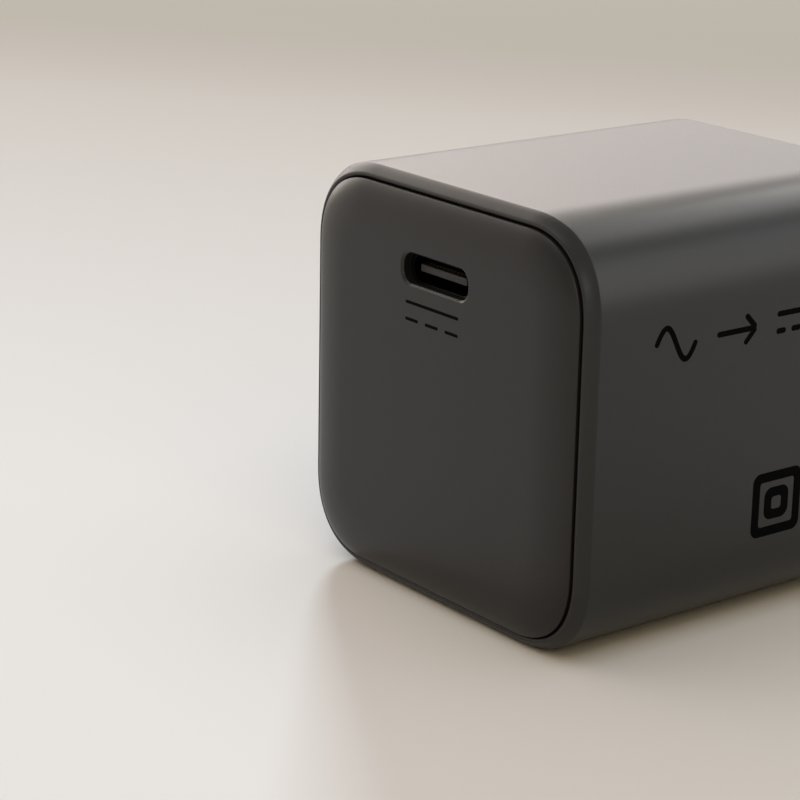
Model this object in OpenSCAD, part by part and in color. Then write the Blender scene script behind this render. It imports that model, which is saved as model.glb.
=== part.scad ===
// Wall power adapter with one small oval port: a rounded cube of a body whose front
// cover is set into a rounded rim, with a two-pin mains plug head on its back and
// the power supply inside. X runs across the front, Y from the front to the back
// and Z up. The origin is the middle of the bottom face of the body.

/* [Body] */
// Width of the body across the front
body_w = 40; // [36:0.5:60]
// Height of the body
body_h = 40; // [36:0.5:60]
// Length of the body from the front rim to the back face
body_l = 42.5; // [38.5:0.5:70]
// Radius of the four long corners
corner_r = 8; // [6.5:0.25:9]
// Thickness of the side walls
wall = 2.2; // [2:0.1:2.6]
// Radius of the rounded rim round the front cover
rim_r = 1.2; // [0.6:0.05:1.25]
// Radius of the rounded edge round the back face
back_r = 1.2; // [0.6:0.05:1.25]
// Width of the rim, from the side of the body to its inner edge
rim_w = 1.25; // [1.2:0.05:1.55]
// Radius of the inner edge of the rim
rim_in_r = 0.05; // [0.02:0.01:0.15]

/* [Front cover] */
// Width of the seam between a cover and the rim round it
seam = 0.2; // [0.1:0.01:0.3]
// Depth of the recess that the front cover sits in
seat_depth = 1.5; // [1.2:0.1:2]
// How far the edge of the front cover stands out of the rim
cover_proud = 0.1; // [0:0.02:0.3]
// Width of the crowned band between the edge and the flat of the front cover
crown_w = 5; // [3:0.25:5.5]
// Height that the crowned band rises
crown_h = 0.77; // [0.3:0.05:1.2]
// Radius of the outer edge of the front cover
cover_edge_r = 0.3; // [0.1:0.05:0.5]
// Length of the skirt behind a cover
skirt_l = 3; // [2:0.25:3.5]
// Thickness of the skirt
skirt_t = 1.2; // [0.8:0.1:1.6]
// Clearance between the skirt and the walls
skirt_gap = 0.15; // [0.1:0.05:0.3]

/* [Port] */
// Width of the port slot
port_w = 9.4; // [9:0.1:10]
// Height of the port slot
port_h = 2.9; // [2.7:0.05:3.3]
// Corner radius of the port slot
port_r = 1.2; // [0.8:0.05:1.3]
// Bevel round the port slot
port_bevel = 0.3; // [0.1:0.05:0.4]
// Distance from the top of the body to the middle of the port slot
port_drop = 8; // [7.5:0.25:12]
// Thickness of the lip that the receptacle sits behind
port_lip = 0.85; // [0.6:0.05:1.2]
// Clearance round the receptacle in its pocket
pocket_gap = 0.12; // [0.05:0.01:0.2]
// Wall of the collar round the pocket
collar_t = 1.2; // [0.8:0.1:1.6]
// Length of the collar behind the cover
collar_l = 1.6; // [1:0.1:3]

/* [Receptacle] */
// Width of the receptacle shell
shell_w = 8.94; // [8.8:0.02:9.2]
// Height of the receptacle shell
shell_h = 3.16; // [3.1:0.02:3.4]
// Sheet thickness of the receptacle shell
shell_t = 0.3; // [0.2:0.05:0.35]
// Length of the receptacle shell
shell_l = 7; // [6.5:0.1:7.6]
// Width of the tongue
tongue_w = 6.69; // [6.5:0.01:6.8]
// Thickness of the tongue
tongue_t = 0.7; // [0.6:0.02:0.8]
// Distance from the mouth of the shell back to the tip of the tongue
tongue_back = 0.2; // [0.1:0.05:1]
// Length of the block that carries the tongue
tongue_base_l = 1.9; // [1.5:0.1:2.5]
// Clearance of the tongue block inside the shell
tongue_gap = 0.03; // [0.02:0.01:0.06]
// Contacts on each face of the tongue
contact_n = 12; // [4:2:12]
// Pitch of the contacts
contact_pitch = 0.5; // [0.45:0.01:0.53]
// Width of a contact
contact_w = 0.26; // [0.2:0.01:0.35]
// Thickness of a contact
contact_t = 0.08; // [0.05:0.01:0.12]
// Distance from the tip of the tongue back to the contacts
contact_back = 0.7; // [0.4:0.05:1.5]

/* [Plug head] */
// Thickness of the plate of the rear cover
rear_t = 1.8; // [1.4:0.1:2.4]
// Width of the plug head over its ends
head_w = 35.3; // [34.6:0.1:35.4]
// Height of the plug head
head_h = 13.7; // [13:0.1:14.4]
// Width of the flat top and bottom of the plug head
head_flat_w = 26.1; // [25.5:0.1:27]
// Length that the plug head stands out of the back face
head_l = 18; // [12:0.5:20]
// Thickness of the sides of the plug head
head_wall = 2; // [1.5:0.1:2.4]
// Thickness of the end of the plug head
head_end_t = 3.2; // [2.5:0.1:4]
// Bevel round the end of the plug head
head_bevel = 0.8; // [0.3:0.1:1.2]

/* [Pins] */
// Diameter of the bare end of a mains pin
pin_d = 4; // [3.9:0.02:4.1]
// Length that a mains pin stands out of the plug head
pin_l = 19; // [17:0.25:20]
// Distance between the two mains pins
pin_pitch = 19; // [18:0.1:19.2]
// Diameter of the pin where it passes through the end of the plug head
stem_d = 4.4; // [4.2:0.1:4.8]
// Radius of the rounded tip of a pin
pin_tip_r = 1.6; // [0.8:0.1:1.8]
// Diameter of the insulating sleeve on a pin
sleeve_d = 3.6; // [3.5:0.02:3.7]
// Length of the insulating sleeve
sleeve_l = 10; // [8:0.25:10.5]
// Diameter of the pin inside its sleeve
neck_d = 2.9; // [2.6:0.05:3.1]
// Clearance of a pin in the plug head and in its sleeve, all round
pin_gap = 0.05; // [0.02:0.01:0.1]
// Diameter of the flange that holds a pin in the plug head
flange_d = 5.6; // [5:0.1:6.4]
// Thickness of the flange
flange_t = 1.2; // [0.8:0.1:1.6]
// Length of the tail of a pin behind its flange
tail_l = 3; // [2:0.25:4]
// Width of the strip that joins a pin to the main board
strip_w = 3; // [2:0.25:4]
// Thickness of the strip
strip_t = 0.5; // [0.3:0.05:0.7]
// How far the strip runs below the middle of the pin
strip_drop = 2.6; // [2.3:0.1:3]

/* [Boards] */
// Height of the rails that the main board lies on
rail_h = 2.8; // [2.5:0.1:3.4]
// Width of a rail under the edge of the main board
rail_lap = 1.6; // [1:0.1:2.4]
// Thickness of the main board
board_t = 1.6; // [1.2:0.1:2]
// Clearance between the main board and what stands round it
board_gap = 0.4; // [0.3:0.05:0.6]
// Length of the main board in front of the port board
board_lead = 1.4; // [0.6:0.1:1.8]
// Thickness of the port board and the side board
small_board_t = 1.2; // [0.8:0.1:1.4]
// Width of the port board
port_board_w = 26; // [20:0.5:28]
// Height of the port board above the middle of the port
port_board_top = 4.2; // [3:0.1:4.4]
// Height of the side board
side_board_h = 23; // [20:0.5:27]
// Usual space left between two parts on a board
part_gap = 0.5; // [0.3:0.05:0.6]

/* [Transformer] */
// Length of the core along its windings
core_w = 19; // [16:0.5:24]
// Height of the core
core_h = 23; // [20:0.5:26]
// Depth of the core from front to back
core_d = 13; // [10:0.5:15]
// Thickness of the two end walls of the core
core_back = 4; // [3:0.25:5]
// Thickness of the upper and lower legs of the core
core_leg = 4; // [3:0.25:4.25]
// Thickness of the windings, which leaves the middle post of the core its diameter
winding_t = 2; // [1.5:0.1:3]
// Wall of the bobbin
bobbin_t = 0.8; // [0.6:0.1:1]
// Clearance between core, bobbin and windings
wound_gap = 0.1; // [0.05:0.01:0.15]
// Clearance between the windings and the legs of the core
leg_gap = 0.5; // [0.2:0.05:1]

/* [Capacitors and filter] */
// Diameter of an input capacitor
bulk_d = 8.5; // [8:0.5:10]
// Height of an input capacitor
bulk_h = 23; // [20:0.5:27]
// Diameter of an output capacitor
output_d = 6.3; // [5:0.1:7.5]
// Height of an output capacitor
output_h = 11; // [8:0.5:12]
// Width and depth of the rolled groove round a capacitor
can_groove = 0.5; // [0.3:0.05:0.7]
// Edge radius of a capacitor can
can_edge_r = 0.6; // [0.3:0.05:0.8]
// Outer diameter of the ring core of the choke
choke_d = 7; // [6.5:0.25:8.25]
// Hole in the ring core
choke_hole_d = 3.5; // [3:0.25:4.5]
// Height of the ring core
choke_h = 4.4; // [3:0.1:5]
// Thickness of the two windings on the ring core
choke_wire = 0.7; // [0.4:0.05:0.8]
// Angle that each winding covers
choke_angle = 130; // [90:5:150]
// Width, length and height of the film capacitor
film_w = 6; // [4:0.25:6.5]
film_l = 9.25; // [8:0.25:11.5]
film_h = 8.5; // [7:0.25:12]
// Diameter of the fuse
fuse_d = 8.4; // [7:0.1:8.6]
// Length of the fuse
fuse_l = 7; // [5:0.25:7.5]
// Diameter of the disc capacitor
disc_d = 6; // [5:0.25:6.5]
// Thickness of the disc capacitor
disc_t = 3; // [2:0.25:4]

/* [Chips] */
// Side and height of the power switch
switch_w = 8; // [6:0.5:9]
switch_t = 0.9; // [0.7:0.05:1.1]
// Side and height of the input rectifier
bridge_w = 8.5; // [7:0.5:9]
bridge_t = 1.6; // [1.2:0.1:2]
// Side and height of the controller and the coupler
logic_w = 5; // [4:0.25:6]
logic_t = 1.5; // [1:0.1:2]
// Side and height of the two chips on the port board
output_chip_w = 5; // [4:0.25:6]
output_chip_t = 0.8; // [0.6:0.05:0.9]

/* [Shielding] */
// Thickness of the heat spreader
spreader_t = 0.5; // [0.3:0.05:0.6]
// Thickness of the insulating sheet
sheet_t = 0.3; // [0.2:0.05:0.4]
// Clearance outside the heat spreader and outside the sheet
sheet_gap = 0.12; // [0.05:0.01:0.15]
// Height of the lower edges of the spreader above the floor of the body
sheet_rise = 7; // [6.8:0.2:12]

/* [Hidden] */
$fn = 64;
// A cut reaches this far past the faces that it opens
past = 1;
front_y = -body_l / 2;
back_y = body_l / 2;
mid_z = body_h / 2;
// The cavity in the body
cavity_w = body_w - 2 * wall;
cavity_h = body_h - 2 * wall;
cavity_r = corner_r - wall;
// Outline of both covers
cover_in = rim_w + seam;
cover_w = body_w - 2 * cover_in;
cover_h = body_h - 2 * cover_in;
cover_r = corner_r - cover_in;
seat_y = front_y + seat_depth;
rear_seat_y = back_y - rear_t;
skirt_in = wall + skirt_gap;
// Crown of the front cover: one arc that leaves the flat face level, and the small
// edge round that touches both the arc and the side of the cover
face_y = front_y - cover_proud - crown_h;
crown_r = (crown_w * crown_w + crown_h * crown_h) / (2 * crown_h);
crown_mid = -face_y - crown_r;
edge_mid = crown_mid + sqrt(pow(crown_r - cover_edge_r, 2) - pow(crown_w - cover_edge_r, 2));
edge_in = crown_w - (crown_w - cover_edge_r) * crown_r / (crown_r - cover_edge_r);
// Port and receptacle
port_z = body_h - port_drop;
pocket_y = face_y + port_lip;
mouth_y = pocket_y + pocket_gap / 2;
shell_back_y = mouth_y + shell_l;
tongue_tip_y = mouth_y + tongue_back;
tongue_base_y = shell_back_y - tongue_base_l;
contact_y = tongue_tip_y + contact_back;
// Boards
board_z = wall + rail_h;
board_top = board_z + board_t;
board_half = cavity_half(rail_h) - board_gap;
port_board_y = shell_back_y + small_board_t;
board_front_y = shell_back_y - board_lead;
board_back_y = rear_seat_y - skirt_l - board_gap;
side_board_x = board_half - board_gap / 2 - small_board_t;
side_board_front_y = port_board_y + part_gap;
side_board_back_y = board_back_y - part_gap;
// Pins
pin_x = pin_pitch / 2;
head_y = back_y + head_l;
flange_y = head_y - head_end_t;
tail_y = flange_y - flange_t - tail_l;
strip_y = board_back_y - board_gap - strip_t;
strip_z = mid_z - strip_drop;
// Parts on the main board
window_l = core_w - 2 * core_back;
winding_r = core_h / 2 - core_leg - leg_gap;
bobbin_r = winding_r - winding_t - wound_gap;
post_r = bobbin_r - bobbin_t - wound_gap;
core_x = -board_half + part_gap + core_w / 2;
core_y = port_board_y + part_gap + max(winding_r, core_d / 2);
core_z = board_top + core_h / 2;
bulk_x = -board_half + part_gap + bulk_d / 2;
bulk_y = strip_y - part_gap - bulk_d / 2;
output_x = side_board_x - part_gap - output_d / 2;
output_y = port_board_y + output_chip_t + part_gap + output_d / 2;
choke_r = choke_d / 2 + choke_wire;
choke_x = side_board_x - part_gap - choke_r;
choke_y = strip_y - part_gap - choke_r;
choke_z = board_top + choke_wire;
// Parts on the side board, with the fuse and the disc above the film capacitor
fuse_y = port_board_y + output_chip_t + part_gap + fuse_d / 2;
disc_y = fuse_y + fuse_d / 2 + part_gap + disc_d / 2;
film_y = side_board_back_y - part_gap - film_l;
film_z = choke_z + choke_h + choke_wire + 2 * part_gap;
upper_z = film_z + film_h + part_gap + disc_d / 2;
// Chips under the main board and on the port board
bridge_y = board_back_y - part_gap - bridge_w;
chip_x = -board_half + rail_lap + 4 * part_gap;
switch_x = cavity_r - cavity_w / 2;
logic_x = board_half - rail_lap - 4 * part_gap - logic_w;
output_chip_x = port_board_w / 2 - part_gap - output_chip_w;
output_chip_z = port_z + port_board_top - part_gap - output_chip_w;

// Half the width of the cavity at a height above its floor
function cavity_half(rise) = rise >= cavity_r
    ? cavity_w / 2
    : cavity_w / 2 - cavity_r + sqrt(pow(cavity_r, 2) - pow(cavity_r - rise, 2));

// Rectangle with round corners, centred
module round_rect(w, h, r) {
    square([w - 2 * r, h], center = true);
    square([w, h - 2 * r], center = true);
    for (x = [-1, 1], y = [-1, 1]) translate([x * (w / 2 - r), y * (h / 2 - r)]) circle(r);
}

// Oval with straight sides and round ends, centred
module oval(w, h) {
    square([w - h, h], center = true);
    for (x = [-1, 1]) translate([x * (w - h) / 2, 0]) circle(h / 2);
}

// Turns an outline drawn in width and height into a solid from one depth to another
module between(y0, y1, z = 0) {
    translate([0, y1, z]) rotate([90, 0, 0]) linear_extrude(y1 - y0) children();
}

// Stands what is drawn flat on its edge, so that its height points to the front
module facing_front(z = mid_z) {
    translate([0, 0, z]) rotate([90, 0, 0]) children();
}

// Carries a profile round a rounded rectangle. The profile's first coordinate is its
// distance in from the rectangle, and its second is the height.
module carried_round(w, h, r) {
    for (a = [0, 180]) rotate(a) straight_run(w / 2, h - 2 * r) children();
    for (a = [90, 270]) rotate(a) straight_run(h / 2, w - 2 * r) children();
    for (x = [0, 1], y = [0, 1]) mirror([x, 0, 0]) mirror([0, y, 0])
        translate([w / 2 - r, h / 2 - r, 0]) rotate_extrude(angle = 90)
            translate([r, 0]) mirror([1, 0]) children();
}

// One straight side of such a run, at a distance from the middle
module straight_run(distance, length) {
    translate([distance, 0, 0]) rotate([90, 0, 0]) linear_extrude(length, center = true)
        mirror([1, 0]) children();
}

// What a round of radius r takes off a corner at the origin, with the solid to the
// right of it and below
module corner_off(r) {
    difference() {
        translate([-past, -r]) square([past + r, r + past]);
        translate([r, -r]) circle(r);
    }
}

// Wall of the body, from its outer side in and from back to front, with the rounded
// rim, the rounded back edge and the recess for a cover at each end
module wall_profile() {
    difference() {
        translate([0, -back_y]) square([wall, body_l]);
        translate([0, -front_y]) corner_off(rim_r);
        translate([0, -back_y]) mirror([0, 1]) corner_off(back_r);
        translate([rim_w, -seat_y]) square([wall, seat_depth + past]);
        translate([rim_w, -back_y - past]) square([wall, rear_t + past]);
        translate([rim_w, -front_y]) mirror([1, 0]) corner_off(rim_in_r);
    }
}

// The two rails on the floor of the body that the main board lies on
module rails() {
    intersection() {
        between(board_front_y, board_back_y, mid_z)
            round_rect(cavity_w + wall, cavity_h + wall, cavity_r + wall / 2);
        for (x = [0, 1]) mirror([x, 0, 0])
            translate([board_half - rail_lap, board_front_y, wall / 2])
                cube([wall + rail_lap + board_gap, board_back_y - board_front_y, board_z - wall / 2]);
    }
}

module housing_shell() {
    color("#3b3a39") {
        facing_front() carried_round(body_w, body_h, corner_r) wall_profile();
        rails();
    }
}

// Crowned band of the front cover, from its edge in
module crown_profile() {
    intersection() {
        translate([edge_in, -seat_y]) square([crown_w - edge_in, seat_y - face_y]);
        translate([crown_w, crown_mid]) circle(crown_r, $fn = 720);
    }
    translate([0, -seat_y]) square([edge_in, seat_y + edge_mid]);
    intersection() {
        translate([0, -seat_y]) square([edge_in, seat_y - face_y]);
        translate([cover_edge_r, edge_mid]) circle(cover_edge_r);
    }
}

// Skirt that reaches into the body behind a cover
module skirt(y0, y1) {
    between(y0, y1, mid_z) difference() {
        round_rect(body_w - 2 * skirt_in, body_h - 2 * skirt_in, corner_r - skirt_in);
        round_rect(body_w - 2 * (skirt_in + skirt_t), body_h - 2 * (skirt_in + skirt_t),
            corner_r - skirt_in - skirt_t);
    }
}

// Slot, bevel and pocket that open the front cover for the receptacle
module port_cut() {
    between(face_y - past, seat_y, port_z) round_rect(port_w, port_h, port_r);
    translate([0, face_y, 0]) facing_front(port_z) carried_round(port_w, port_h, port_r)
        polygon([[0, -port_bevel], [0, past], [-port_bevel - past, past]]);
    between(pocket_y, seat_y + collar_l + past, port_z)
        oval(shell_w + 2 * pocket_gap, shell_h + 2 * pocket_gap);
}

module front_cover() {
    color("#3c3936") difference() {
        union() {
            facing_front() carried_round(cover_w, cover_h, cover_r) crown_profile();
            between(face_y, seat_y, mid_z)
                round_rect(cover_w - 2 * crown_w, cover_h - 2 * crown_w, cover_r - crown_w);
            skirt(seat_y, seat_y + skirt_l);
            between(seat_y, seat_y + collar_l, port_z)
                oval(shell_w + 2 * (pocket_gap + collar_t), shell_h + 2 * (pocket_gap + collar_t));
        }
        port_cut();
    }
}

// Outline of the plug head: long flats above and below, and slanted ends
module head_outline(inset) {
    half_w = head_w / 2 - inset;
    half_h = head_h / 2 - inset;
    slope = tan(22.5) * inset;
    flat = head_flat_w / 2 - slope;
    end = half_h - (half_w - flat);
    polygon([[-flat, -half_h], [flat, -half_h], [half_w, -end], [half_w, end],
        [flat, half_h], [-flat, half_h], [-half_w, end], [-half_w, -end]]);
}

module rear_cover() {
    color("#3b3a39") difference() {
        union() {
            between(rear_seat_y, back_y, mid_z) round_rect(cover_w, cover_h, cover_r);
            skirt(rear_seat_y - skirt_l, rear_seat_y);
            hull() {
                between(back_y, head_y - head_bevel, mid_z) head_outline(0);
                between(back_y, head_y, mid_z) head_outline(head_bevel);
            }
        }
        between(rear_seat_y - past, flange_y, mid_z) head_outline(head_wall);
        for (x = [-pin_x, pin_x]) translate([x, flange_y - past, mid_z]) rotate([-90, 0, 0])
            cylinder(h = head_end_t + 2 * past, d = stem_d + 2 * pin_gap);
    }
}

// A pin turned from one rod: tail, flange, stem in the plug head, neck and bare end
module mains_pin(x) {
    color("#c9c6bd") translate([x, 0, mid_z]) rotate([-90, 0, 0]) {
        translate([0, 0, tail_y]) cylinder(h = flange_y - tail_y, d = neck_d);
        translate([0, 0, flange_y - flange_t]) cylinder(h = flange_t, d = flange_d);
        translate([0, 0, flange_y - flange_t]) cylinder(h = flange_t + head_end_t, d = stem_d);
        translate([0, 0, head_y]) cylinder(h = sleeve_l, d = neck_d);
        translate([0, 0, head_y + sleeve_l]) rotate_extrude() pin_end_profile();
    }
}

// Half outline of the bare end of a pin, with its rounded tip
module pin_end_profile() {
    bare_l = pin_l - sleeve_l;
    square([pin_d / 2, bare_l - pin_tip_r]);
    square([pin_d / 2 - pin_tip_r, bare_l]);
    intersection() {
        square([pin_d / 2, bare_l]);
        translate([pin_d / 2 - pin_tip_r, bare_l - pin_tip_r]) circle(pin_tip_r);
    }
}

module mains_pin_left() mains_pin(-pin_x);
module mains_pin_right() mains_pin(pin_x);

module pin_sleeve(x) {
    color("#161514") translate([x, head_y, mid_z]) rotate([-90, 0, 0]) difference() {
        cylinder(h = sleeve_l, d = sleeve_d);
        translate([0, 0, -past]) cylinder(h = sleeve_l + 2 * past, d = neck_d + 2 * pin_gap);
    }
}

module pin_sleeve_left() pin_sleeve(-pin_x);
module pin_sleeve_right() pin_sleeve(pin_x);

// Bent strip from the tail of a pin back under it and down to the main board
module mains_strip(x) {
    color("#b98f4a") translate([x - strip_w / 2, 0, 0]) {
        translate([0, strip_y, board_top]) cube([strip_w, strip_t, strip_z - board_top]);
        translate([0, strip_y, strip_z - strip_t]) cube([strip_w, tail_y - strip_y, strip_t]);
        translate([0, tail_y - strip_t, strip_z - strip_t])
            cube([strip_w, strip_t, strip_drop + strip_t + neck_d / 2]);
    }
}

module mains_strip_left() mains_strip(-pin_x);
module mains_strip_right() mains_strip(pin_x);

module main_board() {
    color("#2f5d43") translate([-board_half, board_front_y, board_z])
        cube([2 * board_half, board_back_y - board_front_y, board_t]);
}

module port_board() {
    color("#2f5d43") translate([-port_board_w / 2, shell_back_y, board_top])
        cube([port_board_w, small_board_t, port_z + port_board_top - board_top]);
}

module side_board() {
    color("#2f5d43") translate([side_board_x, side_board_front_y, board_top])
        cube([small_board_t, side_board_back_y - side_board_front_y, side_board_h]);
}

module receptacle_shell() {
    color("#b9bbbd") between(mouth_y, shell_back_y, port_z) difference() {
        oval(shell_w, shell_h);
        oval(shell_w - 2 * shell_t, shell_h - 2 * shell_t);
    }
}

module receptacle_tongue() {
    block_w = shell_w - 2 * (shell_t + tongue_gap);
    block_h = shell_h - 2 * (shell_t + tongue_gap);
    color("#4a4947") {
        between(tongue_base_y, shell_back_y, port_z) oval(block_w, block_h);
        between(tongue_tip_y, tongue_base_y, port_z) square([tongue_w, tongue_t], center = true);
    }
}

module receptacle_contacts() {
    first = -(contact_n - 1) / 2 * contact_pitch;
    color("#d0a95a") for (i = [0 : contact_n - 1], s = [0, 1])
        translate([first + i * contact_pitch - contact_w / 2, contact_y, port_z]) mirror([0, 0, s])
            translate([0, 0, tongue_t / 2]) cube([contact_w, tongue_base_y - contact_y, contact_t]);
}

// Half of the core: an end wall, two outer legs and the round post inside the bobbin
module core_half() {
    color("#3d3b3f") {
        translate([-core_w / 2, -core_d / 2, -core_h / 2]) cube([core_back, core_d, core_h]);
        for (z = [-core_h / 2, core_h / 2 - core_leg])
            translate([-core_w / 2, -core_d / 2, z]) cube([core_w / 2, core_d, core_leg]);
        translate([-core_w / 2, 0, 0]) rotate([0, 90, 0]) cylinder(h = core_w / 2, r = post_r);
    }
}

module transformer_core_left() translate([core_x, core_y, core_z]) core_half();
module transformer_core_right() translate([core_x, core_y, core_z]) mirror([1, 0, 0]) core_half();

// Tube between two flanges, standing across the body
module transformer_bobbin() {
    reel_l = window_l - 2 * wound_gap;
    color("#1d1d1f") translate([core_x - reel_l / 2, core_y, core_z]) rotate([0, 90, 0]) difference() {
        union() {
            cylinder(h = reel_l, r = bobbin_r);
            for (z = [0, reel_l - bobbin_t]) translate([0, 0, z]) cylinder(h = bobbin_t, r = winding_r);
        }
        translate([0, 0, -past]) cylinder(h = reel_l + 2 * past, r = bobbin_r - bobbin_t);
    }
}

module transformer_winding() {
    wound_l = window_l - 4 * wound_gap - 2 * bobbin_t;
    color("#d9b23a") translate([core_x - wound_l / 2, core_y, core_z]) rotate([0, 90, 0]) difference() {
        cylinder(h = wound_l, r = winding_r);
        translate([0, 0, -past]) cylinder(h = wound_l + 2 * past, r = bobbin_r + wound_gap);
    }
}

// Can with a rounded top edge and a rolled groove above its base
module capacitor(d, h) {
    rotate_extrude() difference() {
        union() {
            square([d / 2, h - can_edge_r]);
            square([d / 2 - can_edge_r, h]);
            translate([d / 2 - can_edge_r, h - can_edge_r]) circle(can_edge_r);
        }
        translate([d / 2, 3 * can_groove]) circle(can_groove);
    }
}

module input_capacitor_left() color("#26282c") translate([bulk_x, bulk_y, board_top])
    capacitor(bulk_d, bulk_h);
module input_capacitor_right() color("#26282c")
    translate([bulk_x + bulk_d + part_gap, bulk_y, board_top]) capacitor(bulk_d, bulk_h);
module output_capacitor_front() color("#c3c6c9") translate([output_x, output_y, board_top])
    capacitor(output_d, output_h);
module output_capacitor_back() color("#c3c6c9")
    translate([output_x, output_y + output_d + part_gap, board_top]) capacitor(output_d, output_h);

module choke_core() {
    color("#2c6b52") translate([choke_x, choke_y, choke_z]) difference() {
        cylinder(h = choke_h, d = choke_d);
        translate([0, 0, -past]) cylinder(h = choke_h + 2 * past, d = choke_hole_d);
    }
}

// Two windings on opposite sides of the ring core, each wrapped round its section
module choke_windings() {
    color("#b5652f") translate([choke_x, choke_y, choke_z]) for (a = [0, 180])
        rotate(a - choke_angle / 2) rotate_extrude(angle = choke_angle) difference() {
            translate([choke_hole_d / 2 - choke_wire, -choke_wire])
                square([(choke_d - choke_hole_d) / 2 + 2 * choke_wire, choke_h + 2 * choke_wire]);
            translate([choke_hole_d / 2, 0]) square([(choke_d - choke_hole_d) / 2, choke_h]);
        }
}

module film_capacitor() {
    color("#c9a42c") translate([side_board_x - film_w, film_y, film_z]) cube([film_w, film_l, film_h]);
}

// A round part that stands out of the side board
module on_side_board(y, z, d, length) {
    translate([side_board_x - length, y, z]) rotate([0, 90, 0]) cylinder(h = length, d = d);
}

module disc_capacitor() color("#3b6ea5") on_side_board(disc_y, upper_z, disc_d, disc_t);
module fuse() color("#6b4630") on_side_board(fuse_y, upper_z, fuse_d, fuse_l);

// A flat chip that hangs under the main board
module under_board(x, y, w, l, t) {
    translate([x, y, board_z - t]) cube([w, l, t]);
}

module input_rectifier() color("#1b1b1c") under_board(chip_x, bridge_y, bridge_w, bridge_w, bridge_t);
module power_switch() color("#1b1b1c") under_board(switch_x, core_y, switch_w, switch_w, switch_t);
module controller_chip() color("#1b1b1c") under_board(logic_x, bridge_y, logic_w, logic_w, logic_t);
module coupler_chip() color("#e7e3da") under_board(logic_x, core_y, logic_w, logic_w, logic_t);

// Soft pad that carries the heat of the power switch to the floor of the body
module thermal_pad() {
    color("#8f9aa0") translate([switch_x, core_y, wall]) cube([switch_w, switch_w, rail_h - switch_t]);
}

// A flat chip on the back of the port board
module on_port_board(z) {
    translate([output_chip_x, port_board_y, z]) cube([output_chip_w, output_chip_t, output_chip_w]);
}

module protocol_chip() color("#1b1b1c") on_port_board(output_chip_z);
module output_switch() color("#1b1b1c") on_port_board(output_chip_z - output_chip_w - 2 * part_gap);

// Sheet bent over the parts, along the walls and the top of the cavity
module lining(inset, t) {
    intersection() {
        between(side_board_front_y, side_board_back_y, mid_z) difference() {
            round_rect(cavity_w - 2 * inset, cavity_h - 2 * inset, cavity_r - inset);
            round_rect(cavity_w - 2 * (inset + t), cavity_h - 2 * (inset + t), cavity_r - inset - t);
        }
        translate([-body_w / 2, front_y, wall + sheet_rise]) cube([body_w, body_l, body_h]);
    }
}

module heat_spreader() color("#b8bcc0") lining(sheet_gap, spreader_t);
module insulating_sheet() color("#d8c27a") lining(2 * sheet_gap + spreader_t, sheet_t);

housing_shell();
front_cover();
rear_cover();
mains_pin_left();
mains_pin_right();
pin_sleeve_left();
pin_sleeve_right();
mains_strip_left();
mains_strip_right();
main_board();
port_board();
side_board();
receptacle_shell();
receptacle_tongue();
receptacle_contacts();
transformer_core_left();
transformer_core_right();
transformer_bobbin();
transformer_winding();
input_capacitor_left();
input_capacitor_right();
output_capacitor_front();
output_capacitor_back();
choke_core();
choke_windings();
film_capacitor();
disc_capacitor();
fuse();
input_rectifier();
power_switch();
thermal_pad();
controller_chip();
coupler_chip();
output_switch();
protocol_chip();
heat_spreader();
insulating_sheet();
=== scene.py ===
# Wall power adapter: a rounded cube with one oval port in its front cover and a two-pin plug
# behind. Shapes are worked out in millimetres and go into the meshes in metres.
import math
import bpy
import bmesh
import numpy as np
from mathutils import Matrix, Vector


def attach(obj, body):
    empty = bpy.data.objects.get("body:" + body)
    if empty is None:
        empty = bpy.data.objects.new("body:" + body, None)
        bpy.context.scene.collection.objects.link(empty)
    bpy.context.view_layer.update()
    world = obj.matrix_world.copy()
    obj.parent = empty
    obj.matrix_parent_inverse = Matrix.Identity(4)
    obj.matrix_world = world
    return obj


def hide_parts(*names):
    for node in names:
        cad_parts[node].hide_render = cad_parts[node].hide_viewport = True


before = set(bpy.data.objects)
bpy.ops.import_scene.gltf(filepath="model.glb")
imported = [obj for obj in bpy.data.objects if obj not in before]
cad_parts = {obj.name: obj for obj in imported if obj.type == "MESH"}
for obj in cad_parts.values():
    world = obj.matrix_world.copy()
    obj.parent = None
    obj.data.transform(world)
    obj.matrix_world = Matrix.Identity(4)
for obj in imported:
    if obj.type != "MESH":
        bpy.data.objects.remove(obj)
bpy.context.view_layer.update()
mm = 0.001
print("frame loaded:", len(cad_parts), "nodes")


# Outlines and grids

segments = {"side": 8, "corner": 36, "top": 8}  # points on a quarter of every outline


# Quarter of an outline from its right middle (w, 0) to its top middle (0, h): a straight, the
# corner |u|^k + |v|^k = r^k about (w - r, h - r), and a straight. Points crowd near the corner.
def quarterOutline(w, h, r, k=2.0):
    side = segments["side"] if h - r > 1e-6 else 0
    top = segments["top"] if w - r > 1e-6 else 0
    corner = sum(segments.values()) - side - top
    angle = np.linspace(0, math.pi / 2, corner + 1)
    reach = r / (np.abs(np.cos(angle)) ** k + np.abs(np.sin(angle)) ** k) ** (1 / k)
    arc = np.stack([w - r + reach * np.cos(angle), h - r + reach * np.sin(angle)], axis=1)
    rise = (h - r) * np.sin(np.linspace(0, math.pi / 2, side + 1))[:-1]
    right = np.stack([np.full(side, w), rise], axis=1)
    run = (w - r) * np.sin(np.linspace(math.pi / 2, 0, top + 1))[1:]
    upper = np.stack([run, np.full(top, h)], axis=1)
    return np.abs(np.concatenate([right, arc, upper]))


# Whole outline: the quarter q, then (-x, z), (-x, -z) and (x, -z), each joined end to end.
def wholeOutline(q):
    return np.concatenate([q[:-1], (q * [-1, 1])[::-1][:-1], -q[:-1], (q * [1, -1])[::-1][:-1]])


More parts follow.
